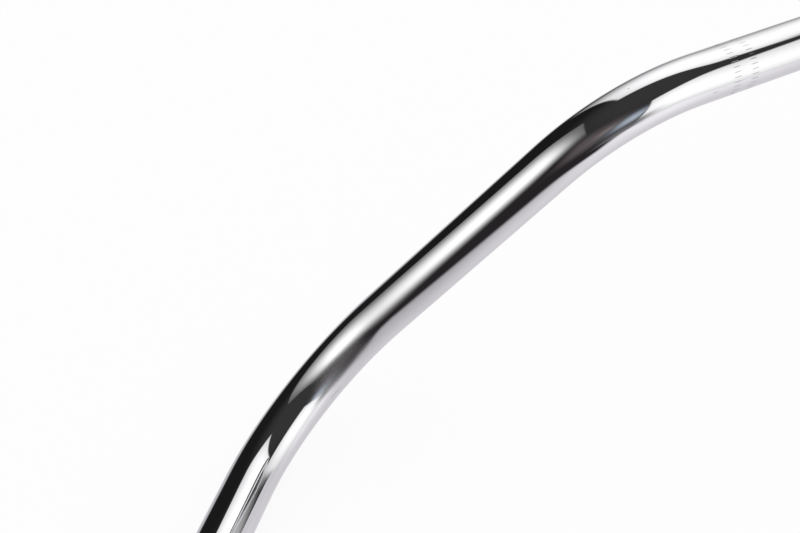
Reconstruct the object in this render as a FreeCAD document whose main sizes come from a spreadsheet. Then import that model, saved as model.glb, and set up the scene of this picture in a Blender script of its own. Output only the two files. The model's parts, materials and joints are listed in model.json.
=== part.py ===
"""A bent steel handlebar tube with knurled clamp bands, lying on its two grips.

Frame: millimetres, origin at the middle of the clamp straight, X along that
straight, Z up, and the grips swept back towards -Y. One half is bent from the
straight in two planes, and the other half is its mirror image in the YZ plane.
"""
import FreeCAD
import Part
import Sketcher
import math
import os

# Driving dimensions, in millimetres and degrees
SIZES = {
    "tube_diameter": 22.2,
    "tube_wall": 2.0,
    "clamp_straight": 150.0,
    "bend_radius": 76.0,
    "drop_angle": 54.0,
    "lean_angle": 27.0,
    "mid_straight": 108.0,
    "sweep_angle": 45.0,
    "grip_straight": 170.0,
    "end_chamfer": 0.6,
    "knurl_offset": 56.0,
    "knurl_pitch": 9.4,
    "knurl_phase": 1.2,
    "dash_count": 32,
    "dash_length": 4.8,
    "dash_width": 0.6,
    "dash_depth": 0.15,
}

# Sizes that follow from them: the angle of the second bend and the roll of the
# tube about the middle straight between the two bend planes
FOLLOWING = {
    "second_angle": "=acos(cos(sweep_angle) * cos(drop_angle)"
                    " - sin(sweep_angle) * sin(drop_angle) * sin(lean_angle))",
    "roll_angle": "=atan2(sin(sweep_angle) * cos(lean_angle);"
                  " cos(sweep_angle) * sin(drop_angle)"
                  " + sin(sweep_angle) * sin(lean_angle) * cos(drop_angle))",
}

doc = FreeCAD.newDocument("handlebar")
sheet = doc.addObject("Spreadsheet::Sheet", "sizes")
for row, (name, value) in enumerate({**SIZES, **FOLLOWING}.items(), start=1):
    sheet.set(f"A{row}", name)
    sheet.set(f"B{row}", str(value))
    sheet.setAlias(f"B{row}", name)
doc.recompute()

body = doc.addObject("PartDesign::Body", "handlebar_tube")


def origin(role):
    """The body's own origin plane or axis with this role."""
    return next(item for item in body.Origin.OriginFeatures if item.Role == role)


def new_sketch(name, role, offset=None):
    """A sketch on an origin plane, moved from it by an expression when one is given."""
    sketch = body.newObject("Sketcher::SketchObject", name)
    sketch.AttachmentSupport = [(origin(role), "")]
    sketch.MapMode = "FlatFace"
    if offset:
        sketch.setExpression("AttachmentOffset", offset)
    return sketch


def constrain(sketch, kind, *where, bound=None, name=None):
    """Adds a constraint, and binds its value to an expression over the sheet."""
    index = sketch.addConstraint(Sketcher.Constraint(kind, *where))
    if name:
        sketch.renameConstraint(index, name)
        sketch.setExpression(f"Constraints.{name}", bound)


def ring_section(name, role, offset=None):
    """The tube's cross-section: two circles about the sketch origin."""
    sketch = new_sketch(name, role, offset)
    outer = SIZES["tube_diameter"] / 2
    inner = outer - SIZES["tube_wall"]
    for index, radius in enumerate((outer, inner)):
        sketch.addGeometry(Part.Circle(FreeCAD.Vector(0, 0, 0), FreeCAD.Vector(0, 0, 1), radius))
        constrain(sketch, "Coincident", index, 3, -1, 1)
    constrain(sketch, "Radius", 0, outer, name="outer", bound="sizes.tube_diameter / 2")
    constrain(sketch, "Radius", 1, inner, name="inner",
              bound="sizes.tube_diameter / 2 - sizes.tube_wall")
    return sketch


def bend_path(name, role, offset, lengths, turn, bounds):
    """A straight along the sketch's x axis, a tangent arc and a second straight.

    turn is the signed bend angle in degrees, lengths are the two straights, and
    bounds holds the expressions for the first straight, the turn and the last straight.
    """
    sketch = new_sketch(name, role, offset)
    radius = SIZES["bend_radius"]
    side = math.copysign(1, turn)
    angle = math.radians(turn)
    start = FreeCAD.Vector(lengths[0], 0, 0)
    centre = start + FreeCAD.Vector(0, side * radius, 0)
    leave = centre + FreeCAD.Vector(math.sin(abs(angle)), -side * math.cos(angle), 0) * radius
    away = FreeCAD.Vector(math.cos(angle), math.sin(angle), 0)
    foot = -side * math.pi / 2
    span = sorted((foot, foot + angle))
    circle = Part.Circle(centre, FreeCAD.Vector(0, 0, 1), radius)
    sketch.addGeometry(Part.LineSegment(FreeCAD.Vector(0, 0, 0), start))
    sketch.addGeometry(Part.ArcOfCircle(circle, *span))
    sketch.addGeometry(Part.LineSegment(leave, leave + away * lengths[1]))
    near, far = (1, 2) if turn > 0 else (2, 1)
    constrain(sketch, "Coincident", 0, 1, -1, 1)
    constrain(sketch, "Horizontal", 0)
    constrain(sketch, "Tangent", 0, 2, 1, near)
    constrain(sketch, "Tangent", 1, far, 2, 1)
    constrain(sketch, "Distance", 0, lengths[0], name="first", bound=bounds[0])
    constrain(sketch, "Radius", 1, radius, name="bend", bound="sizes.bend_radius")
    constrain(sketch, "Angle", 2, angle, name="turn", bound=bounds[1])
    constrain(sketch, "Distance", 2, lengths[1], name="last", bound=bounds[2])
    return sketch


def sweep(name, section, path):
    """The section carried along all three edges of the path."""
    pipe = body.newObject("PartDesign::AdditivePipe", name)
    pipe.Profile = (section, [""])
    pipe.Spine = (path, ["Edge1", "Edge2", "Edge3"])
    return pipe


def dash_outline(name, along, turn):
    """The rectangle of one dash, on a plane that touches the top of the tube.

    along is the expression for its place on the clamp straight, and turn the one for
    the angle that it is turned about the tube from the top.
    """
    sketch = new_sketch(
        name, "XY_Plane",
        f"placement(vector(0; 0; 0); rotation(vector(1; 0; 0); {turn}))"
        f" * placement(vector({along}; 0; sizes.tube_diameter / 2); rotation(vector(0; 0; 1); 0))",
    )
    half_length = SIZES["dash_length"] / 2
    half_width = SIZES["dash_width"] / 2
    corners = [
        FreeCAD.Vector(x * half_length, y * half_width, 0)
        for x, y in ((-1, -1), (1, -1), (1, 1), (-1, 1))
    ]
    for index, corner in enumerate(corners):
        sketch.addGeometry(Part.LineSegment(corner, corners[(index + 1) % 4]))
    for index in range(4):
        constrain(sketch, "Coincident", index, 2, (index + 1) % 4, 1)
        constrain(sketch, ("Horizontal", "Vertical")[index % 2], index)
    constrain(sketch, "Symmetric", 0, 1, 2, 1, -1, 1)
    constrain(sketch, "Distance", 0, 2 * half_length, name="long", bound="sizes.dash_length")
    constrain(sketch, "Distance", 1, 2 * half_width, name="wide", bound="sizes.dash_width")
    return sketch


def knurl_ring(name, along, turn):
    """One ring of dashes pressed into the tube, all round it."""
    dash = body.newObject("PartDesign::Pocket", f"{name}_dash")
    dash.Profile = (dash_outline(f"{name}_outline", along, turn), [""])
    dash.setExpression("Length", "sizes.dash_depth")
    doc.recompute()
    ring = body.newObject("PartDesign::PolarPattern", name)
    ring.Originals = [dash]
    ring.Axis = (origin("X_Axis"), [""])
    ring.Angle = 360
    ring.setExpression("Occurrences", "sizes.dash_count")
    body.Tip = ring
    doc.recompute()
    return ring


# The clamp half of the bar, bent down and forward from the clamp straight
lean = "placement(vector(0; 0; 0); rotation(vector(1; 0; 0); sizes.lean_angle))"
clamp_section = ring_section("clamp_section", "YZ_Plane")
clamp_path = bend_path(
    "clamp_path", "XZ_Plane", lean,
    lengths=(SIZES["clamp_straight"] / 2, SIZES["mid_straight"] / 2),
    turn=-SIZES["drop_angle"],
    bounds=("sizes.clamp_straight / 2", "-sizes.drop_angle", "sizes.mid_straight / 2"),
)
clamp_half = sweep("clamp_half", clamp_section, clamp_path)

# The grip half, bent back from the middle of the straight between the bends
middle = (
    lean
    + " * placement(vector(sizes.clamp_straight / 2 + sizes.bend_radius * sin(sizes.drop_angle)"
    + " + sizes.mid_straight / 2 * cos(sizes.drop_angle);"
    + " -sizes.bend_radius * (1 - cos(sizes.drop_angle))"
    + " - sizes.mid_straight / 2 * sin(sizes.drop_angle); 0);"
    + " rotation(vector(0; 0; 1); -sizes.drop_angle))"
    + " * placement(vector(0; 0; 0); rotation(vector(1; 0; 0); sizes.roll_angle))"
)
across = " * placement(vector(0; 0; 0); rotation(vector(0; 1; 0); 90))"
middle_section = ring_section("middle_section", "XZ_Plane", middle + across)
grip_path = bend_path(
    "grip_path", "XZ_Plane", middle,
    lengths=(SIZES["mid_straight"] / 2, SIZES["grip_straight"]),
    turn=sheet.second_angle.Value,
    bounds=("sizes.mid_straight / 2", "sizes.second_angle", "sizes.grip_straight"),
)
doc.recompute()
grip_half = sweep("grip_half", middle_section, grip_path)
doc.recompute()

# The open end is cut square, with both rims broken
end = grip_path.Shape.Edges[-1].Vertexes[-1].Point
rims = [
    f"Edge{index}"
    for index, edge in enumerate(grip_half.Shape.Edges, start=1)
    if isinstance(edge.Curve, Part.Circle) and edge.Curve.Center.distanceToPoint(end) < 1e-3
]
end_rims = body.newObject("PartDesign::Chamfer", "end_rims")
end_rims.Base = (grip_half, rims)
end_rims.setExpression("Size", "sizes.end_chamfer")
doc.recompute()

# The knurled band that one clamp grips: two rings, staggered by half a dash
smooth_volume = end_rims.Shape.Volume
knurl_ring("outer_ring", "sizes.knurl_offset + sizes.knurl_pitch / 2", "sizes.knurl_phase")
knurled = knurl_ring("inner_ring", "sizes.knurl_offset - sizes.knurl_pitch / 2",
                     "sizes.knurl_phase + 180 / sizes.dash_count")
if knurled.Shape.Volume >= smooth_volume:
    raise RuntimeError("the knurled band cuts nothing")

# The other half of the bar
whole_bar = body.newObject("PartDesign::Mirrored", "whole_bar")
whole_bar.MirrorPlane = (origin("YZ_Plane"), [""])
whole_bar.TransformMode = "Whole shape"
whole_bar.Refine = True
body.Tip = whole_bar
doc.recompute()

faulty = [item.Name for item in doc.Objects if {"Invalid", "Error"} & set(item.State)]
if faulty:
    raise RuntimeError(f"not built: {faulty}")
shape = body.Shape
if not shape.isValid() or len(shape.Solids) != 1:
    raise RuntimeError("the bar is not one valid solid")

os.makedirs("parts", exist_ok=True)
shape.exportStep("parts/handlebar_tube.step")
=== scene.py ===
"""A chromed handlebar tube with knurled clamp bands, lying in a small photo studio.

Frame: metres, origin at the middle of the clamp straight, X along that straight, Z up,
and the grips swept back towards -Y. The tube is worked out from its bends, and the
studio round it is a sheet of pale paper, soft panels and a dark room.
"""
import json
import math
from collections import namedtuple

import bpy
import numpy as np
from mathutils import Euler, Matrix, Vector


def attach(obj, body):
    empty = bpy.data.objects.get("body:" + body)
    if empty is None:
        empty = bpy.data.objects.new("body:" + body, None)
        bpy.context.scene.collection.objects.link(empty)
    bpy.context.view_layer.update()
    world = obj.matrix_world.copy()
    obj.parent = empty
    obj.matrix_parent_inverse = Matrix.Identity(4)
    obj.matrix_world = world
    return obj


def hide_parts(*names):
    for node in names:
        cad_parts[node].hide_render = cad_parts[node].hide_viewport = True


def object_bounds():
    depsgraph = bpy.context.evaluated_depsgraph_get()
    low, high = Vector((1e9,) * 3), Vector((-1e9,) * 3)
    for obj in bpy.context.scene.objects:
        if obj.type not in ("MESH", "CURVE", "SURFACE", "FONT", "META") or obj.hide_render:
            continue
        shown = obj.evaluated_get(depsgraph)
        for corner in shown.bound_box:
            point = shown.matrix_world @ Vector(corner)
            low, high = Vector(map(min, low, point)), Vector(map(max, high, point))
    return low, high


bl_info = {
    "name": "Bent Handlebar",
    "version": (1, 0, 0),
    "blender": (4, 5, 0),
    "location": "View3D > Sidebar > Handlebar",
    "description": "Builds a chromed handlebar tube with knurled clamp bands, and its studio",
    "category": "Object",
}

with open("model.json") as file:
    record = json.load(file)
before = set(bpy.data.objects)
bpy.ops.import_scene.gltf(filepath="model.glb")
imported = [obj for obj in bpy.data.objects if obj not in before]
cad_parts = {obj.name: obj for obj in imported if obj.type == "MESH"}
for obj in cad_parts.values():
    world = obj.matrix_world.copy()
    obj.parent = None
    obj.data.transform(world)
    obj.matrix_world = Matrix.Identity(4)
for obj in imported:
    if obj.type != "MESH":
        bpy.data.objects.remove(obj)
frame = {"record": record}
SOLID_BOX = [list(corner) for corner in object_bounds()]
FLOOR_HEIGHT = SOLID_BOX[0][2]
MOUNTS = {mount["name"]: mount for mount in frame["record"]["mounts"]}
CLAMP_ZONE = MOUNTS["clamp_zone"]["dims"]
END_BORE = MOUNTS["end_bore_x_plus"]["dims"]
MM = 0.001

# The grid of the bar: its columns to a dash, its rows in the bore, the decimals of a metre at which
# two rows are one, and the gaps between its rows on the straights, beside the rings, on the rings,
# from there to the bends and on the bends
COLUMNS_PER_DASH = 6
BORE_ROWS = 91
ROW_DECIMALS = 9
STRAIGHT_GAP = 0.008
RING_SIDE_GAP = 0.0008
RING_GAP = 0.0004
LEAD_GAP = 0.003
BEND_GAP = 0.002


class BarSizes(bpy.types.PropertyGroup):
    """Lengths and angles that the tube is bent to."""

    diameter: bpy.props.FloatProperty(
        name="Tube diameter", description="Outside diameter of the tube",
        default=2 * CLAMP_ZONE["r_mm"] * MM, unit="LENGTH", precision=4)
    wall: bpy.props.FloatProperty(
        name="Wall", description="Thickness of the tube's wall",
        default=(CLAMP_ZONE["r_mm"] - END_BORE["r_mm"]) * MM, unit="LENGTH", precision=4)
    clamp_straight: bpy.props.FloatProperty(
        name="Clamp straight", description="Length of the straight between the upper bends",
        default=CLAMP_ZONE["length_mm"] * MM, unit="LENGTH", precision=4)
    bend_radius: bpy.props.FloatProperty(
        name="Bend radius", description="Radius of every bend, at the tube's centre line",
        default=0.076, unit="LENGTH", precision=4)
    bend_easing: bpy.props.FloatProperty(
        name="Bend easing", description="Length over which the skin turns into a bend",
        default=0.016, unit="LENGTH", precision=4)
    drop_angle: bpy.props.FloatProperty(
        name="Drop", description="Angle of the upper bends",
        default=math.radians(54), subtype="ANGLE")
    lean_angle: bpy.props.FloatProperty(
        name="Lean", description="Angle that the upper bends lean forward",
        default=math.radians(27), subtype="ANGLE")
    middle_straight: bpy.props.FloatProperty(
        name="Middle straight", description="Length of the straight between the two bends",
        default=0.108, unit="LENGTH", precision=4)
    sweep_angle: bpy.props.FloatProperty(
        name="Sweep", description="Angle that the grips are swept back",
        default=math.radians(45), subtype="ANGLE")
    grip_straight: bpy.props.FloatProperty(
        name="Grip straight", description="Length of the straight that takes a grip",
        default=0.170, unit="LENGTH", precision=4)
    end_chamfer: bpy.props.FloatProperty(
        name="End chamfer", description="Size of the broken edges at the open ends",
        default=0.0006, unit="LENGTH", precision=5)


class KnurlSizes(bpy.types.PropertyGroup):
    """The two rings of pressed dashes under each clamp."""

    offset: bpy.props.FloatProperty(
        name="Offset", description="From the middle of the bar to the middle of a band",
        default=0.056, unit="LENGTH", precision=4)
    pitch: bpy.props.FloatProperty(
        name="Pitch", description="Distance between the two rings of a band",
        default=0.0094, unit="LENGTH", precision=4)
    phase: bpy.props.FloatProperty(
        name="Phase", description="Angle of the outer ring's first dash from the top",
        default=math.radians(1.2), subtype="ANGLE")
    count: bpy.props.IntProperty(
        name="Dashes", description="Dashes in one ring", default=32, min=8)
    length: bpy.props.FloatProperty(
        name="Dash length", description="Length of one dash along the tube",
        default=0.0048, unit="LENGTH", precision=5)
    width: bpy.props.FloatProperty(
        name="Dash width", description="Width of one dash round the tube",
        default=0.0006, unit="LENGTH", precision=5)
    depth: bpy.props.FloatProperty(
        name="Dash depth", description="Depth of a dash at its middle",
        default=0.0001, unit="LENGTH", precision=5)
    flank_share: bpy.props.FloatProperty(
        name="Flank share", description="Share of a dash's slope that its rounded plate mirrors",
        default=0.25, min=0, max=1, subtype="FACTOR")


class ChromeFinish(bpy.types.PropertyGroup):
    """Colours and gloss of the plated outside and the bare bore."""

    plate: bpy.props.FloatVectorProperty(
        name="Plate", description="Colour of clean chrome plate",
        default=(0.79, 0.79, 0.80), subtype="COLOR", size=3, min=0, max=1)
    haze: bpy.props.FloatVectorProperty(
        name="Haze", description="Colour of the plate where it is slightly hazed",
        default=(0.75, 0.75, 0.76), subtype="COLOR", size=3, min=0, max=1)
    # Painted shade: the dash bottoms are darkened towards this colour by their depth
    dash: bpy.props.FloatVectorProperty(
        name="Dash", description="Colour of the dull bottoms of the pressed dashes",
        default=(0.42, 0.42, 0.43), subtype="COLOR", size=3, min=0, max=1)
    speck: bpy.props.FloatVectorProperty(
        name="Speck", description="Colour of the pin specks and small marks",
        default=(0.12, 0.12, 0.12), subtype="COLOR", size=3, min=0, max=1)
    roughness: bpy.props.FloatProperty(
        name="Roughness", description="Roughness of clean plate",
        default=0.03, min=0, max=1, subtype="FACTOR")
    bore: bpy.props.FloatVectorProperty(
        name="Bore", description="Colour of the bare steel inside the tube",
        default=(0.24, 0.22, 0.20), subtype="COLOR", size=3, min=0, max=1)
    oxide: bpy.props.FloatVectorProperty(
        name="Oxide", description="Colour of the dull patches inside the tube",
        default=(0.10, 0.075, 0.055), subtype="COLOR", size=3, min=0, max=1)
    mouth: bpy.props.FloatProperty(
        name="Plated mouth", description="How far the plate reaches into the bore",
        default=0.014, unit="LENGTH", precision=4)


class StudioSettings(bpy.types.PropertyGroup):
    """The camera and the levels of the room."""

    camera_place: bpy.props.FloatVectorProperty(
        name="Camera", description="Where the camera stands",
        default=(-0.41549, -0.37170, 0.26583), subtype="XYZ", unit="LENGTH", precision=4)
    camera_turn: bpy.props.FloatVectorProperty(
        name="Turn", description="How the camera is turned, as XYZ Euler angles",
        default=tuple(math.radians(turn) for turn in (54.062, 2.659, -29.835)), subtype="EULER")
    lens: bpy.props.FloatProperty(
        name="Lens", description="Focal length on a 36 mm wide sensor",
        default=59.43, min=10, subtype="DISTANCE_CAMERA")
    paper: bpy.props.FloatVectorProperty(
        name="Paper", description="Colour of the sheet that the bar lies on",
        default=(0.88, 0.88, 0.89), subtype="COLOR", size=3, min=0, max=1)
    # The walls and ceiling glow by themselves: these colours are the painted dim light of the room
    walls: bpy.props.FloatVectorProperty(
        name="Walls", description="Colour of the dark walls that bright metal mirrors",
        default=(0.0130, 0.0123, 0.0126), subtype="COLOR", size=3, min=0, max=1)
    ceiling: bpy.props.FloatVectorProperty(
        name="Ceiling", description="Colour of the dark ceiling that bright metal mirrors",
        default=(0.044, 0.0425, 0.042), subtype="COLOR", size=3, min=0, max=1)


# The width of the camera's sensor in millimetres
SENSOR_WIDTH = 36

# Plain colours, as a socket takes them
BLACK = (0.0, 0.0, 0.0, 1.0)
WHITE = (1.0, 1.0, 1.0, 1.0)

# The point of the studio that the panels stand round, how far its floor and walls reach, the way
# to the lightest spot of its ceiling's painted light, and the cosines to that way between which that
# painted light rises
STUDIO_MIDDLE = (-0.180, 0.020, -0.080)
ROOM_REACH = 20.0
LIGHTEST_WAY = (0, -0.35, 0.94)
LIGHTEST_RISE = (0.3, 1.0)

# One soft panel. It faces the middle from a compass turn, a tilt and a distance, with a roll
# about that line. spans are its left and right edges and its lower and upper edges, measured
# from the line in metres, and fades the half widths over which those edges fade out. Its level
# is light at the core and rim times as much far from it.
SoftPanel = namedtuple("SoftPanel", "turn tilt roll distance spans fades light rim core spread tint")

SOFT_PANELS = {
    "left_panel": SoftPanel(
        turn=-83.8, tilt=4.1, roll=21.5, distance=0.298,
        spans=((-0.136, 0.308), (-0.071, 0.445)), fades=((0.130, 0.012), (0.030, 0.012)),
        light=1.47, rim=0.10, core=(-0.012, 0.114), spread=(0.199, 0.177), tint=(1.0, 1.0, 1.0)),
    "right_panel": SoftPanel(
        turn=122.2, tilt=14.3, roll=13.6, distance=0.615,
        spans=((-0.270, 0.678), (-0.600, 0.238)), fades=((0.080, 0.025), (0.100, 0.022)),
        light=1.38, rim=0.10, core=(0.310, -0.100), spread=(0.800, 0.520), tint=(1.0, 1.0, 1.0)),
    "rear_panel": SoftPanel(
        turn=54.6, tilt=53.0, roll=-32.5, distance=0.405,
        spans=((-0.201, 0.255), (-0.420, 0.176)), fades=((0.012, 0.045), (0.060, 0.012)),
        light=1.36, rim=0.14, core=(0.080, 0.030), spread=(0.420, 0.265), tint=(1.0, 0.995, 1.0)),
    "blue_card": SoftPanel(
        turn=178, tilt=6, roll=0, distance=0.800,
        spans=((-0.080, 0.250), (-0.150, 0.350)), fades=((0.010, 0.120), (0.080, 0.150)),
        light=0.55, rim=0.10, core=(0.004, 0.070), spread=(0.150, 0.170), tint=(0.89, 1.0, 1.17)),
    "grey_card": SoftPanel(
        turn=172, tilt=-10, roll=0, distance=0.750,
        spans=((-0.120, 0.160), (-0.250, 0.100)), fades=((0.100, 0.120), (0.100, 0.100)),
        light=0.24, rim=0.50, core=(-0.020, -0.140), spread=(0.150, 0.150), tint=(1.0, 0.97, 1.0)),
    "warm_card": SoftPanel(
        turn=205, tilt=14, roll=0, distance=0.800,
        spans=((-0.280, 0.280), (-0.260, 0.260)), fades=((0.200, 0.200), (0.200, 0.200)),
        light=0.24, rim=0.50, core=(-0.120, 0.040), spread=(0.100, 0.100), tint=(1.0, 0.86, 0.88)),
}

# Share of plain white that the camera sees in the floor
FLOOR_WHITE = 0.9

# The sheet of paper that bright metal mirrors, hung lower than the floor. It glows with painted light
# of its own, not lamp light.
# Its front edge faces a turn from the middle, and its edges fade out over half widths to the colour
# of a dark table.
LOW_PAPER_HEIGHT = -0.340
LOW_PAPER_TURN = -141
LOW_PAPER_FRONT = 0.400
LOW_PAPER_FRONT_FADE = 0.085
LOW_PAPER_LEFT = -1.000
LOW_PAPER_LEFT_FADE = 0.350
LOW_PAPER_GLOW = (1.20, 1.165, 1.22)
DARK_TABLE = (0.024, 0.021, 0.023)

# The slopes of that paper's front edge, and the spans to the right of the middle that have them
FRONT_SKEW = 0.35
FRONT_SKEW_SPAN = (-0.2, 0.3)
FRONT_FLARE = 0.9
FRONT_FLARE_SPAN = (0.35, 1.5)

# The paper's painted light at the middle, and how much it falls towards the front, rises in a painted
# pool of light towards the right panel and falls towards the left for each metre, with the places
# where each starts and ends
PAPER_PAINTED_LIGHT = 0.73
FRONT_FALL = 0.7
FRONT_FALL_START = -0.02
RIGHT_LIGHT = 1.4
RIGHT_LIGHT_SPAN = (0.07, 0.44)
RIGHT_LIGHT_RISE = (-0.30, 0.25)
LEFT_FALL = 0.4
LEFT_FALL_SPAN = (-0.6, -0.1)

# Small marks of use on the plate: their places along the straight tube and their turns round it
# in degrees, with their lengths along the tube and their widths
PlateMark = namedtuple("PlateMark", "along turn length width")

PLATE_MARKS = (
    PlateMark(along=-0.1048, turn=5.0, length=0.0006, width=0.0006),
    PlateMark(along=-0.0530, turn=117.8, length=0.0022, width=0.0004),
    PlateMark(along=-0.0613, turn=126.5, length=0.0014, width=0.0004),
    PlateMark(along=-0.0726, turn=98.7, length=0.0032, width=0.0003),
    PlateMark(along=-0.2984, turn=108.1, length=0.0090, width=0.0003),
)

# A hazed patch inside each lower bend: its place along the straight tube, its turn round it in
# degrees, how far it reaches along the tube and how far round it, and the shares of those two
# reaches that are hazed in full
BEND_HAZE_ALONG = 0.284
BEND_HAZE_TURN = 75
BEND_HAZE_REACH = 0.032
BEND_HAZE_SPREAD = 40
BEND_HAZE_FULL_REACH = 0.3
BEND_HAZE_FULL_SPREAD = 0.4

# Noise on the straight tube, from 0 to 1. A stretch below 1 draws it out along the tube.
TubeNoise = namedtuple("TubeNoise", "stretch scale detail")

NOISE_MIDDLE = 0.5
PLATE_HAZE = TubeNoise(stretch=0.35, scale=70, detail=4)
PLATE_BUFFING = TubeNoise(stretch=0.04, scale=900, detail=3)
PLATE_RIPPLE = TubeNoise(stretch=0.5, scale=55, detail=1)
BORE_MOTTLE = TubeNoise(stretch=0.4, scale=160, detail=6)
BORE_DRAWING = TubeNoise(stretch=0.02, scale=1400, detail=3)

# Cells of the plate to a metre, some of which hold a pin speck
SPECK_SCALE = 110

# Where each flaw of the plate starts to show and where it shows in full: the haze by its noise, a
# speck by its cell's colour and by the distance from the cell's middle in cells, a mark by the
# distance from its own middle in half sizes, and a dash's painted shade and roughness by its share of
# the full depth
HAZE_RISE = (0.45, 0.75)
SPECK_CHOICE = (0.80, 0.82)
SPECK_RIM = (0.035, 0.015)
MARK_RIM = (1.3, 0.5)
DASH_RISE = (0.04, 0.55)

# Shares of their own colours that dashes and specks take on; the dashes' share is painted shade,
# darkening their bottoms by their depth
DASH_SHADE_SHARE = 0.9
SPECK_SHARE = 0.7

# What each flaw adds to the plate's roughness
HAZE_ROUGHNESS = 0.03
BUFFING_ROUGHNESS = 0.02
SPECK_ROUGHNESS = 0.25
DASH_ROUGHNESS = 0.15
BEND_HAZE_ROUGHNESS = 0.25

# The plate's relief in metres, and the shares of it that its flaws take
PLATE_RELIEF = 0.00004
RIPPLE_HEIGHT = 0.6
BUFFING_HEIGHT = 0.02
SPECK_DEPTH = 0.05

# The bore: how raggedly its plated mouth ends, the share of the mouth that is plated in full, the
# half widths between which the seam ends, and where its noise turns to oxide
MOUTH_RAGGEDNESS = 0.012
MOUTH_FULL = 0.4
SEAM_RIM = (0.0006, 0.0002)
OXIDE_RISE = (0.40, 0.62)

# Roughness of the bore's mouth, and what bare steel and its noise add to it
MOUTH_ROUGHNESS = 0.12
BARE_ROUGHNESS = 0.30
MOTTLE_ROUGHNESS = 0.25

# The bore's relief in metres, and the shares of it that its noises take
BORE_RELIEF = 0.0002
DRAWING_HEIGHT = 0.5
MOTTLE_HEIGHT = 0.3


class Wire:
    """An output of a node in a shader tree. Arithmetic on wires adds Math nodes."""

    def __init__(self, tree, socket=None):
        self.tree = tree
        self.socket = socket

    def node(self, kind, settings=None, sockets=None, output=0):
        """Adds a node of this kind and returns one of its outputs.

        settings are set on the node first, and sockets maps the name or number of an input
        to a value or to a wire that is linked to it.
        """
        made = self.tree.nodes.new(kind)
        for name, value in (settings or {}).items():
            setattr(made, name, value)
        for name, value in (sockets or {}).items():
            if isinstance(value, Wire):
                self.tree.links.new(value.socket, made.inputs[name])
            else:
                made.inputs[name].default_value = value
        return Wire(self.tree, made.outputs[output] if made.outputs else None)

    def also(self, output):
        """Another output of the node that this wire comes from."""
        return Wire(self.tree, self.socket.node.outputs[output])

    def math(self, operation, *values):
        """A Math node on these values or wires."""
        return self.node("ShaderNodeMath", {"operation": operation}, dict(enumerate(values)))

    def vector(self, operation, *values, output=0):
        """A Vector Math node on this wire and these vectors or wires."""
        return self.node("ShaderNodeVectorMath", {"operation": operation},
                         dict(enumerate((self, *values))), output)

    def colour(self, low, high):
        """A colour between low and high, this wire being the share of high.

        The Mix node's colours are its inputs 6 and 7 and its output 2.
        """
        return self.node("ShaderNodeMix", {"data_type": "RGBA"}, {0: self, 6: low, 7: high}, 2)

    def held(self, low, high):
        """This wire, held between low and high."""
        return self.node("ShaderNodeClamp", sockets={"Value": self, "Min": low, "Max": high})

    def rise(self, start, end):
        """A smooth step from 0 at start to 1 at end."""
        return self.node("ShaderNodeMapRange", {"interpolation_type": "SMOOTHSTEP"},
                         {"Value": self, "From Min": start, "From Max": end})

    def __add__(self, other):
        return self.math("ADD", self, other)

    __radd__ = __add__

    def __mul__(self, other):
        return self.math("MULTIPLY", self, other)

    __rmul__ = __mul__

    def __sub__(self, other):
        return self.math("SUBTRACT", self, other)

    def __rsub__(self, other):
        return self.math("SUBTRACT", other, self)

    def __truediv__(self, other):
        return self.math("DIVIDE", self, other)

    def __rtruediv__(self, other):
        return self.math("DIVIDE", other, self)

    def __abs__(self):
        return self.math("ABSOLUTE", self)


def blank_material(name):
    """A material with an empty tree, and a wire to start from."""
    material = bpy.data.materials.new(name)
    material.use_nodes = True
    material.node_tree.nodes.clear()
    return material, Wire(material.node_tree)


def rgba(colour):
    """A colour with its alpha, as a socket takes it."""
    return (*colour, 1.0)


def compass(turn, tilt):
    """Unit vector at a turn from +Y towards +X and a tilt above the horizon, in degrees."""
    turn, tilt = math.radians(turn), math.radians(tilt)
    level = math.cos(tilt)
    return np.array((math.sin(turn) * level, math.cos(turn) * level, math.sin(tilt)))


def tube_noise(place, noise):
    """Noise at a place on the straight tube."""
    spot = place.vector("MULTIPLY", (noise.stretch, 1, 1))
    return place.node("ShaderNodeTexNoise", sockets={
        "Vector": spot, "Scale": noise.scale, "Detail": noise.detail,
    })


def tube_shader(start, colour, roughness, height, relief):
    """Ends a material in metal of this colour and roughness, with bumps of height times relief."""
    bump = start.node("ShaderNodeBump", sockets={
        "Strength": 1.0, "Distance": relief, "Height": height,
    })
    shader = start.node("ShaderNodeBsdfPrincipled", sockets={
        "Base Color": colour, "Metallic": 1.0, "Roughness": roughness, "Normal": bump,
    })
    start.node("ShaderNodeOutputMaterial", sockets={"Surface": shader})


def bend_haze(place, radius):
    """Mask of the hazed patches: near their place along the tube, and near their turn round it."""
    turn = math.radians(BEND_HAZE_TURN)
    spread = math.radians(BEND_HAZE_SPREAD)
    outward = (0, math.cos(turn) / radius, math.sin(turn) / radius)
    along = abs(place.vector("DOT_PRODUCT", (1, 0, 0), output="Value"))
    facing = place.vector("DOT_PRODUCT", outward, output="Value")
    near = abs(along - BEND_HAZE_ALONG).rise(BEND_HAZE_REACH, BEND_HAZE_FULL_REACH * BEND_HAZE_REACH)
    return near * facing.rise(math.cos(spread), math.cos(BEND_HAZE_FULL_SPREAD * spread))


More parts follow.
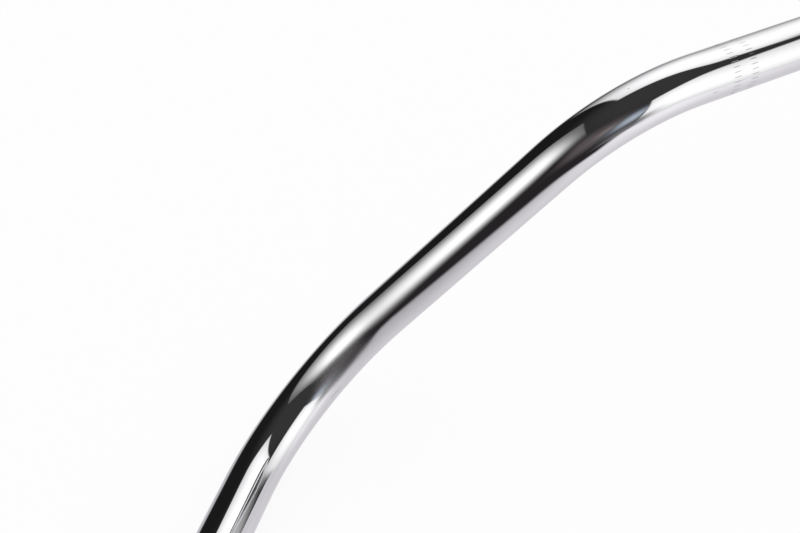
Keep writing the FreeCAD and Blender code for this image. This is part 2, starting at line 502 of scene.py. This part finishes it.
def chrome_plate(finish, radius):
    """Bright chrome with a faint haze, buffing lines, pin specks, marks, and rougher dash bottoms
    darkened by their depth as painted shade.
    """
    material, start = blank_material("chrome_plate")
    place = start.node("ShaderNodeAttribute", {"attribute_name": "unbent"}, output="Vector")
    groove = start.node("ShaderNodeAttribute", {"attribute_name": "groove"}, output="Fac")
    haze = tube_noise(place, PLATE_HAZE).rise(*HAZE_RISE)
    buffing = tube_noise(place, PLATE_BUFFING)
    ripple = tube_noise(place, PLATE_RIPPLE)
    cell = start.node("ShaderNodeTexVoronoi", sockets={"Vector": place, "Scale": SPECK_SCALE})
    chosen = cell.also("Color").vector("DOT_PRODUCT", (1, 0, 0), output="Value")
    speck = cell.rise(*SPECK_RIM) * chosen.rise(*SPECK_CHOICE)
    for mark in PLATE_MARKS:
        turn = math.radians(mark.turn)
        off = place.vector("SUBTRACT", (mark.along, radius * math.cos(turn), radius * math.sin(turn)))
        shares = off.vector("MULTIPLY", (2 / mark.length, 2 / mark.width, 2 / mark.width))
        speck = speck + shares.vector("LENGTH", output="Value").rise(*MARK_RIM)
    dull = groove.rise(*DASH_RISE)
    clean = haze.colour(rgba(finish.plate), rgba(finish.haze))
    # painted shade: the dashes darken towards the dash colour by their depth
    pressed = (DASH_SHADE_SHARE * dull).colour(clean, rgba(finish.dash))
    colour = (SPECK_SHARE * speck).colour(pressed, rgba(finish.speck))
    roughness = finish.roughness + HAZE_ROUGHNESS * haze + BUFFING_ROUGHNESS * buffing
    roughness = roughness + SPECK_ROUGHNESS * speck + DASH_ROUGHNESS * dull
    roughness = roughness + BEND_HAZE_ROUGHNESS * bend_haze(place, radius)
    height = RIPPLE_HEIGHT * ripple + BUFFING_HEIGHT * buffing - SPECK_DEPTH * speck
    tube_shader(start, colour, roughness, height, PLATE_RELIEF)
    return material


def bore_steel(finish, end):
    """Bare steel inside the tube, with plate only at its mouth and a seam along it."""
    material, start = blank_material("bore_steel")
    place = start.node("ShaderNodeAttribute", {"attribute_name": "unbent"}, output="Vector")
    parts = start.node("ShaderNodeSeparateXYZ", sockets={"Vector": place})
    mottle = tube_noise(place, BORE_MOTTLE)
    drawing = tube_noise(place, BORE_DRAWING)
    depth = end - abs(parts) + MOUTH_RAGGEDNESS * (mottle - NOISE_MIDDLE)
    bare = depth.rise(MOUTH_FULL * finish.mouth, finish.mouth)
    below = parts.also("Z").math("LESS_THAN", parts.also("Z"), 0)
    seam = abs(parts.also("Y")).rise(*SEAM_RIM) * below
    dull = mottle.rise(*OXIDE_RISE).colour(rgba(finish.bore), rgba(finish.oxide))
    colour = bare.colour(rgba(finish.haze), dull)
    roughness = MOUTH_ROUGHNESS + bare * (BARE_ROUGHNESS + MOTTLE_ROUGHNESS * mottle)
    height = DRAWING_HEIGHT * drawing + MOTTLE_HEIGHT * mottle + seam
    tube_shader(start, colour, roughness, height, BORE_RELIEF)
    return material


def pale_paper(studio):
    """Matt paper that shows white to the camera and keeps a soft shadow."""
    material, start = blank_material("pale_paper")
    camera = start.node("ShaderNodeLightPath", output="Is Camera Ray")
    matt = start.node("ShaderNodeBsdfDiffuse", sockets={"Color": rgba(studio.paper)})
    white = start.node("ShaderNodeEmission", sockets={"Color": WHITE, "Strength": 1.0})
    sheet = start.node("ShaderNodeMixShader", sockets={0: FLOOR_WHITE * camera, 1: matt, 2: white})
    start.node("ShaderNodeOutputMaterial", sockets={"Surface": sheet})
    return material


def low_paper():
    """The pale sheet that bright metal mirrors. It glows by itself with painted light, lighter
    towards the back and the right panel.

    Its painted light falls in a straight line towards the front and is held at the back. It has a
    painted pool of light where the right panel stands before it and less at the left, and it ends in
    a dark table.
    """
    material, start = blank_material("low_paper")
    spot = start.node("ShaderNodeTexCoord", output="Object").vector(
        "SUBTRACT", (*STUDIO_MIDDLE[:2], 0))
    front = compass(LOW_PAPER_TURN, 0)
    ahead = spot.vector("DOT_PRODUCT", tuple(front), output="Value")
    right = spot.vector("DOT_PRODUCT", (-front[1], front[0], 0), output="Value")
    skew = FRONT_SKEW * right.held(*FRONT_SKEW_SPAN)
    flare = FRONT_FLARE * (right.held(*FRONT_FLARE_SPAN) - FRONT_FLARE_SPAN[0])
    past_front = ahead + skew - flare - LOW_PAPER_FRONT
    from_left = right - LOW_PAPER_LEFT
    paper = past_front.rise(LOW_PAPER_FRONT_FADE, -LOW_PAPER_FRONT_FADE)
    paper = paper * from_left.rise(-LOW_PAPER_LEFT_FADE, LOW_PAPER_LEFT_FADE)
    fall = FRONT_FALL * ahead.held(FRONT_FALL_START, ROOM_REACH)
    painted_pool = (right.held(*RIGHT_LIGHT_SPAN) - RIGHT_LIGHT_SPAN[0]) * ahead.rise(*RIGHT_LIGHT_RISE)
    dim = LEFT_FALL * (right.held(*LEFT_FALL_SPAN) - LEFT_FALL_SPAN[1])
    # painted light: the paper's glow falls towards the front, with a painted pool of light before the
    # right panel
    level = PAPER_PAINTED_LIGHT - fall + RIGHT_LIGHT * painted_pool + dim
    painted_glow = (level / max(LOW_PAPER_GLOW)).colour(BLACK, rgba(LOW_PAPER_GLOW))
    glow = start.node("ShaderNodeEmission", sockets={
        "Color": paper.colour(rgba(DARK_TABLE), painted_glow), "Strength": 1.0,
    })
    start.node("ShaderNodeOutputMaterial", sockets={"Surface": glow})
    return material


def panel_glow(name, panel):
    """Light of a soft panel: a bright core that falls off to the rim, and faded edges.

    The level is rim + (1 - rim) exp(-((x - cx) / sx)^2 - ((y - cy) / sy)^2), where x and y are
    measured on the panel in metres.
    """
    material, start = blank_material(name)
    spot = start.node("ShaderNodeTexCoord", output="UV")
    across = start.node("ShaderNodeSeparateXYZ", sockets={"Vector": spot})
    edges = 1.0
    spread = 0.0
    for index, way in enumerate((across, across.also("Y"))):
        (low, high), (low_fade, high_fade) = panel.spans[index], panel.fades[index]
        edges = edges * way.rise(low - low_fade, low + low_fade)
        edges = edges * way.rise(high + high_fade, high - high_fade)
        off = (way - panel.core[index]) / panel.spread[index]
        spread = spread - off * off
    level = panel.rim + (1 - panel.rim) * spread.math("EXPONENT", spread)
    glow = start.node("ShaderNodeEmission", sockets={
        "Color": level.colour(BLACK, rgba(panel.tint)), "Strength": panel.light,
    })
    clear = start.node("ShaderNodeBsdfTransparent")
    sheet = start.node("ShaderNodeMixShader", sockets={0: edges, 1: clear, 2: glow})
    start.node("ShaderNodeOutputMaterial", sockets={"Surface": sheet})
    return material


def dark_walls(studio):
    """Walls and ceiling of a dark room, glowing faintly with painted light that is a little lighter
    above and in front.
    """
    material, start = blank_material("dark_walls")
    heading = start.node("ShaderNodeTexCoord", output="Object").vector("NORMALIZE")
    # painted light: the ceiling glows lighter towards the lightest way
    share = heading.vector("DOT_PRODUCT", LIGHTEST_WAY, output="Value").rise(*LIGHTEST_RISE)
    glow = start.node("ShaderNodeEmission", sockets={
        "Color": share.colour(rgba(studio.walls), rgba(studio.ceiling)), "Strength": 1.0,
    })
    start.node("ShaderNodeOutputMaterial", sockets={"Surface": glow})
    return material


def white_world():
    """A plain white world, which lights the floor and stands behind it."""
    world = bpy.data.worlds.new("white_world")
    world.use_nodes = True
    world.node_tree.nodes.clear()
    start = Wire(world.node_tree)
    light = start.node("ShaderNodeBackground", sockets={"Color": WHITE, "Strength": 1.0})
    start.node("ShaderNodeOutputWorld", sockets={"Surface": light})
    return world


def turned(vectors, axis, angle):
    """Vectors turned about an axis k by angles t, one angle for each row.

    v cos t + (k x v) sin t + k (k . v) (1 - cos t)
    """
    cosine = np.cos(angle)[:, None, None]
    sine = np.sin(angle)[:, None, None]
    lifted = (vectors @ axis)[..., None] * axis
    return vectors * cosine + np.cross(axis, vectors) * sine + lifted * (1 - cosine)


def headings(sizes):
    """Directions of the clamp straight, the middle straight and the grip straight."""
    drop, lean, sweep = sizes.drop_angle, sizes.lean_angle, sizes.sweep_angle
    clamp = (1.0, 0.0, 0.0)
    middle = (math.cos(drop), math.sin(drop) * math.sin(lean), -math.sin(drop) * math.cos(lean))
    grip = (math.cos(sweep), -math.sin(sweep), 0.0)
    return [np.array(heading) for heading in (clamp, middle, grip)]


def run_lengths(sizes):
    """Lengths of half of the bar's runs: straight, bend, straight, bend, straight."""
    clamp, middle, grip = headings(sizes)
    first_turn = math.acos(clamp @ middle)
    second_turn = math.acos(middle @ grip)
    return (sizes.clamp_straight / 2, sizes.bend_radius * first_turn, sizes.middle_straight,
            sizes.bend_radius * second_turn, sizes.grip_straight)


def eased_share(distance, bend, easing):
    """Length of a bend that is passed at a distance from its start, with eased ends.

    The ramp max(x, 0) is averaged over the easing length w: 0 before -w / 2, then
    (x + w / 2)^2 / 2w, and x after w / 2. The share is the ramp at the start less that at the end.
    """
    ends = np.stack((distance, distance - bend))
    near = np.clip(ends + easing / 2, 0, easing)
    ramp = near ** 2 / (2 * easing) + np.maximum(ends - easing / 2, 0)
    return ramp[0] - ramp[1]


def spine(sizes, along):
    """Centre line of the bar and the three directions of its frame, at distances along it.

    The distances start at the middle of the bar and are negative towards -X. Each run adds
    its share until it is passed: a straight adds its length times its heading h, and a bend
    of radius R through an angle t adds R (h sin t + n (1 - cos t)), n pointing to its centre.
    The frame turns with each bend, a little before and after its ends, as the skin of a real
    bend does, and the half towards -X is the mirror image.
    """
    away = np.abs(along)
    side = np.where(along < 0, -1.0, 1.0)
    lengths = run_lengths(sizes)
    ways = headings(sizes)
    centre = np.zeros((len(along), 3))
    basis = np.tile(np.array(((1.0, 0, 0), (0, 0, 1.0), (0, -1.0, 0))), (len(along), 1, 1))
    passed = 0.0
    for index, heading in enumerate(ways):
        straight = np.clip(away - passed, 0, lengths[2 * index])
        centre += straight[:, None] * heading
        passed += lengths[2 * index]
        if index + 1 < len(ways):
            bend = lengths[2 * index + 1]
            angle = np.clip(away - passed, 0, bend) / sizes.bend_radius
            eased = eased_share(away - passed, bend, sizes.bend_easing) / sizes.bend_radius
            turn = bend / sizes.bend_radius
            inward = (ways[index + 1] - math.cos(turn) * heading) / math.sin(turn)
            arc = np.sin(angle)[:, None] * heading + (1 - np.cos(angle))[:, None] * inward
            centre += sizes.bend_radius * arc
            basis = turned(basis, np.cross(heading, inward), eased)
            passed += bend
    mirror = np.stack((side, np.ones_like(side), np.ones_like(side)), axis=1)
    basis = basis * mirror[:, None, :]
    basis[:, 0] *= side[:, None]
    return centre * mirror, basis


def ring_edges(knurl):
    """Start and end of the inner ring and of the outer ring, from the middle of the bar."""
    middles = (knurl.offset - knurl.pitch / 2, knurl.offset + knurl.pitch / 2)
    return [middle + reach * knurl.length / 2 for middle in middles for reach in (-1, 1)]


def outside_rows(sizes, knurl):
    """Distances of the outside's rows on half of the bar, close on the rings and the bends."""
    straight, bend, middle, second_bend, grip = run_lengths(sizes)
    rings = ring_edges(knurl)
    ease = knurl.length / 2
    stops = (0, rings[0] - ease, *rings, rings[3] + ease, straight, straight + bend,
             straight + bend + middle, straight + bend + middle + second_bend,
             sum((straight, bend, middle, second_bend, grip)) - sizes.end_chamfer)
    band = (RING_SIDE_GAP, RING_GAP, RING_SIDE_GAP, RING_GAP, RING_SIDE_GAP)
    gaps = (STRAIGHT_GAP, *band, LEAD_GAP, BEND_GAP, STRAIGHT_GAP, BEND_GAP, STRAIGHT_GAP)
    rows = [np.linspace(low, high, 1 + math.ceil((high - low) / gap))
            for low, high, gap in zip(stops[:-1], stops[1:], gaps, strict=True)]
    return np.unique(np.concatenate(rows).round(ROW_DECIMALS))


def column_angles(knurl, radius, away):
    """Angles round the tube of every column, one row of them for each distance.

    Six columns share one dash. On the rings they crowd at the dash and its edges, and away
    from them they are even; the inner ring is turned by half the angle between two dashes.
    """
    period = 2 * math.pi / knurl.count
    half = knurl.width / 2 / radius
    rings = ring_edges(knurl)
    ease = knurl.length / 2
    even = np.arange(COLUMNS_PER_DASH) / COLUMNS_PER_DASH * period
    tight = np.array((0, half / 2, half, period / 2, period - half, period - half / 2))
    close = np.interp(away, (rings[0] - ease, rings[0], rings[3], rings[3] + ease), (0, 1, 1, 0))
    shift = np.interp(away, rings[1:3], (knurl.phase + period / 2, knurl.phase))
    within = even + close[:, None] * (tight - even)
    dashes = shift[:, None, None] + period * np.arange(knurl.count)[:, None] + within[:, None, :]
    return dashes.reshape(len(away), -1)


def pressed_dashes(knurl, radius, away, angles):
    """Depth of the dashes below the tube's surface, and its slopes along and round the tube.

    A dash is a parabola 1 - (x / half length)^2 along the tube times a raised cosine
    (1 + cos(pi u / half width)) / 2 round it.
    """
    period = 2 * math.pi / knurl.count
    half = knurl.width / 2 / radius
    depth = np.zeros_like(angles)
    slope_along = np.zeros_like(angles)
    slope_round = np.zeros_like(angles)
    for middle, turn in ((-0.5, period / 2), (0.5, 0)):
        reach = (away - knurl.offset - middle * knurl.pitch)[:, None] / (knurl.length / 2)
        offset = (angles - knurl.phase - turn + period / 2) % period - period / 2
        inside = (np.abs(reach) < 1) & (np.abs(offset) < half)
        bowl = np.where(inside, 1 - reach ** 2, 0) * knurl.depth
        across = (1 + np.cos(math.pi * offset / half)) / 2
        depth += bowl * across
        slope_along -= np.where(inside, 4 * reach / knurl.length, 0) * knurl.depth * across
        slope_round -= bowl * math.pi / (2 * half) * np.sin(math.pi * offset / half)
    return depth, slope_along, slope_round


BarGrid = namedtuple("BarGrid", "points unbent groove quads normals bare")


def bar_grid(sizes, knurl):
    """The whole bar as one grid that closes on itself both ways.

    A row is a ring of points centre + r (cos a E1 + sin a E2) at a distance along the spine.
    The rows run along the outside from the end at -X to the end at +X, over that end's
    broken edges and rim, back along the bore, and over the other rim to the first row.
    """
    radius = sizes.diameter / 2
    bore = radius - sizes.wall
    chamfer = sizes.end_chamfer
    end = sum(run_lengths(sizes))
    half_rows = outside_rows(sizes, knurl)
    outside = np.concatenate((-half_rows[:0:-1], half_rows))
    inside = np.linspace(end - chamfer, chamfer - end, BORE_ROWS)
    along = np.concatenate((outside, (end, end), inside, (-end, -end)))
    plain = np.concatenate((np.full(len(outside), radius), (radius - chamfer, bore + chamfer),
                            np.full(len(inside), bore), (bore + chamfer, radius - chamfer)))
    rows = len(along)
    skin = np.arange(rows) < len(outside)
    away = np.where(skin, np.abs(along), end)
    angles = column_angles(knurl, radius, away)
    columns = angles.shape[1]
    depth, slope_along, slope_round = pressed_dashes(knurl, radius, away, angles)
    slope_along = slope_along * np.where(along < 0, -1.0, 1.0)[:, None]

    centre, basis = spine(sizes, along)
    forward, up, aside = (basis[:, index, None, :] for index in range(3))
    cosine, sine = np.cos(angles)[..., None], np.sin(angles)[..., None]
    outward = cosine * up + sine * aside
    onward = cosine * aside - sine * up
    reach = (plain[:, None] - depth)[..., None]
    points = centre[:, None, :] + reach * outward
    unbent = np.concatenate((np.broadcast_to(along[:, None, None], cosine.shape),
                             reach * cosine, reach * sine), axis=2)

    # Each band of faces between two rows faces by its own shares of outward and forward
    slant = math.sqrt(0.5)
    end_faces = ((slant, slant), (0, 1), (-slant, slant))
    far_faces = ((-slant, -slant), (0, -1), (slant, -slant))
    facing = np.array([(1, 0)] * (len(outside) - 1) + list(end_faces)
                      + [(-1, 0)] * (len(inside) - 1) + list(far_faces), dtype=float)
    tilt = (slope_round / plain[:, None])[..., None] * onward + slope_along[..., None] * forward
    tilt = knurl.flank_share * tilt
    out_share, on_share = facing[:, 0, None, None], facing[:, 1, None, None]
    following = (np.arange(rows) + 1) % rows
    near = out_share * (outward + tilt) + on_share * forward
    far = out_share * (outward + tilt)[following] + on_share * forward[following]
    normals = np.stack((near, np.roll(near, -1, 1), np.roll(far, -1, 1), far), axis=2)
    normals /= np.linalg.norm(normals, axis=3, keepdims=True)

    number = np.arange(rows * columns).reshape(rows, columns)
    quads = np.stack((number, np.roll(number, -1, 1), np.roll(number, -1, 1)[following],
                      number[following]), axis=2)
    bare = np.repeat(facing[:, 0] == -1, columns)
    return BarGrid(points.reshape(-1, 3), unbent.reshape(-1, 3), depth.ravel() / knurl.depth,
                   quads.reshape(-1, 4), normals.reshape(-1, 3), bare)


def quad_mesh(name, points, quads):
    """A mesh of these points and four-sided faces."""
    mesh = bpy.data.meshes.new(name)
    mesh.vertices.add(len(points))
    mesh.vertices.foreach_set("co", points.astype(np.float32).ravel())
    mesh.loops.add(quads.size)
    mesh.loops.foreach_set("vertex_index", quads.astype(np.int32).ravel())
    mesh.polygons.add(len(quads))
    mesh.polygons.foreach_set("loop_start", np.arange(0, quads.size, 4, dtype=np.int32))
    mesh.update(calc_edges=True)
    if mesh.validate():
        raise RuntimeError(f"{name}: the grid's faces are faulty")
    return mesh


def flat_sheet(name, centre, across, upward, spans):
    """A flat sheet centre + x across + y upward over the spans of x and y, which are its UV."""
    (left, right), (low, high) = spans
    spots = np.array(((left, low), (right, low), (right, high), (left, high)))
    points = np.asarray(centre) + spots @ np.stack((across, upward))
    mesh = quad_mesh(name, points, np.arange(4).reshape(1, 4))
    mesh.uv_layers.new(name="sheet").uv.foreach_set("vector", spots.astype(np.float32).ravel())
    sheet = bpy.data.objects.new(name, mesh)
    bpy.context.scene.collection.objects.link(sheet)
    return sheet


def mirrored_only(sheet, material):
    """Gives a sheet its material and shows it only in bright metal."""
    sheet.data.materials.append(material)
    sheet.visible_camera = False
    sheet.visible_diffuse = False
    sheet.visible_shadow = False


def hang_panel(name, panel):
    """Hangs a soft panel round the middle of the studio, facing it."""
    away = compass(panel.turn, panel.tilt)
    level = np.cross(away, (0.0, 0.0, 1.0))
    level /= np.linalg.norm(level)
    upright = np.cross(level, away)
    roll = math.radians(panel.roll)
    across = math.cos(roll) * level + math.sin(roll) * upright
    upward = math.cos(roll) * upright - math.sin(roll) * level
    spans = [(low - low_fade, high + high_fade) for (low, high), (low_fade, high_fade)
             in zip(panel.spans, panel.fades)]
    sheet = flat_sheet(name, STUDIO_MIDDLE + panel.distance * away, across, upward, spans)
    mirrored_only(sheet, panel_glow(name, panel))


def place_camera(scene, studio):
    """Puts the scene's camera where the settings say."""
    camera = bpy.data.objects.new("camera", bpy.data.cameras.new("camera"))
    camera.data.sensor_fit = "HORIZONTAL"
    camera.data.sensor_width = SENSOR_WIDTH
    camera.data.lens = studio.lens
    camera.location = studio.camera_place
    camera.rotation_euler = Euler(studio.camera_turn)
    scene.collection.objects.link(camera)
    scene.camera = camera


class HANDLEBAR_OT_bend_tube(bpy.types.Operator):
    """Builds the bent tube with its knurled bands and gives it its finishes"""

    bl_idname = "handlebar.bend_tube"
    bl_label = "Bend Chromed Tube"

    def execute(self, context):
        sizes = context.scene.handlebar_sizes
        grid = bar_grid(sizes, context.scene.handlebar_knurl)
        mesh = quad_mesh("chromed_tube", grid.points, grid.quads)
        mesh.attributes.new("unbent", "FLOAT_VECTOR", "POINT").data.foreach_set(
            "vector", grid.unbent.astype(np.float32).ravel())
        mesh.attributes.new("groove", "FLOAT", "POINT").data.foreach_set(
            "value", grid.groove.astype(np.float32))
        mesh.polygons.foreach_set("use_smooth", np.ones(len(grid.quads), dtype=bool))
        mesh.polygons.foreach_set("material_index", grid.bare.astype(np.int32))
        mesh.normals_split_custom_set(grid.normals)
        finish = context.scene.handlebar_finish
        mesh.materials.append(chrome_plate(finish, sizes.diameter / 2))
        mesh.materials.append(bore_steel(finish, sum(run_lengths(sizes))))
        tube = bpy.data.objects.new("chromed_tube", mesh)
        context.scene.collection.objects.link(tube)
        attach(tube, "root")
        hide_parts("handlebar_tube")
        return {"FINISHED"}


class HANDLEBAR_OT_set_stage(bpy.types.Operator):
    """Lays the paper, hangs the soft panels, darkens the room and places the camera"""

    bl_idname = "handlebar.set_stage"
    bl_label = "Set Stage"

    def execute(self, context):
        scene = context.scene
        studio = scene.handlebar_studio
        east, north, up = np.eye(3)
        wall_span = (-ROOM_REACH, ROOM_REACH)
        floor_spans = (wall_span, wall_span)
        floor = flat_sheet("paper_floor", FLOOR_HEIGHT * up, east, north, floor_spans)
        floor.data.materials.append(pale_paper(studio))
        floor.visible_glossy = False
        paper = flat_sheet("mirrored_paper", LOW_PAPER_HEIGHT * up, east, north, floor_spans)
        mirrored_only(paper, low_paper())
        dark = dark_walls(studio)
        ceiling = flat_sheet("dark_ceiling", ROOM_REACH * up, east, north, floor_spans)
        mirrored_only(ceiling, dark)
        for name, away in (("right", east), ("rear", north), ("left", -east), ("front", -north)):
            wall = flat_sheet(f"dark_{name}_wall", ROOM_REACH * away, np.cross(away, up), up,
                              (wall_span, (LOW_PAPER_HEIGHT, ROOM_REACH)))
            mirrored_only(wall, dark)
        for name, panel in SOFT_PANELS.items():
            hang_panel(name, panel)
        scene.world = white_world()
        scene.view_settings.view_transform = "Standard"
        place_camera(scene, studio)
        return {"FINISHED"}


class HANDLEBAR_PT_sidebar(bpy.types.Panel):
    """The bar's sizes and finishes, and the buttons that build it"""

    bl_idname = "HANDLEBAR_PT_sidebar"
    bl_label = "Handlebar"
    bl_space_type = "VIEW_3D"
    bl_region_type = "UI"
    bl_category = "Handlebar"

    def draw(self, context):
        for group in PROPERTY_GROUPS:
            box = self.layout.box()
            settings = getattr(context.scene, group)
            for name in settings.__annotations__:
                box.prop(settings, name)
        self.layout.operator(HANDLEBAR_OT_bend_tube.bl_idname)
        self.layout.operator(HANDLEBAR_OT_set_stage.bl_idname)


PROPERTY_GROUPS = {
    "handlebar_sizes": BarSizes,
    "handlebar_knurl": KnurlSizes,
    "handlebar_finish": ChromeFinish,
    "handlebar_studio": StudioSettings,
}
CLASSES = (*PROPERTY_GROUPS.values(), HANDLEBAR_OT_bend_tube, HANDLEBAR_OT_set_stage,
           HANDLEBAR_PT_sidebar)


def register():
    """Registers the classes and hangs the settings on the scene."""
    for item in CLASSES:
        bpy.utils.register_class(item)
    for name, group in PROPERTY_GROUPS.items():
        setattr(bpy.types.Scene, name, bpy.props.PointerProperty(type=group))


def unregister():
    """Takes the settings and the classes away again."""
    for name in PROPERTY_GROUPS:
        delattr(bpy.types.Scene, name)
    for item in reversed(CLASSES):
        bpy.utils.unregister_class(item)


def main():
    """Builds the bar and its stage."""
    register()
    bpy.ops.handlebar.bend_tube()
    bpy.ops.handlebar.set_stage()


if __name__ == "__main__":
    main()
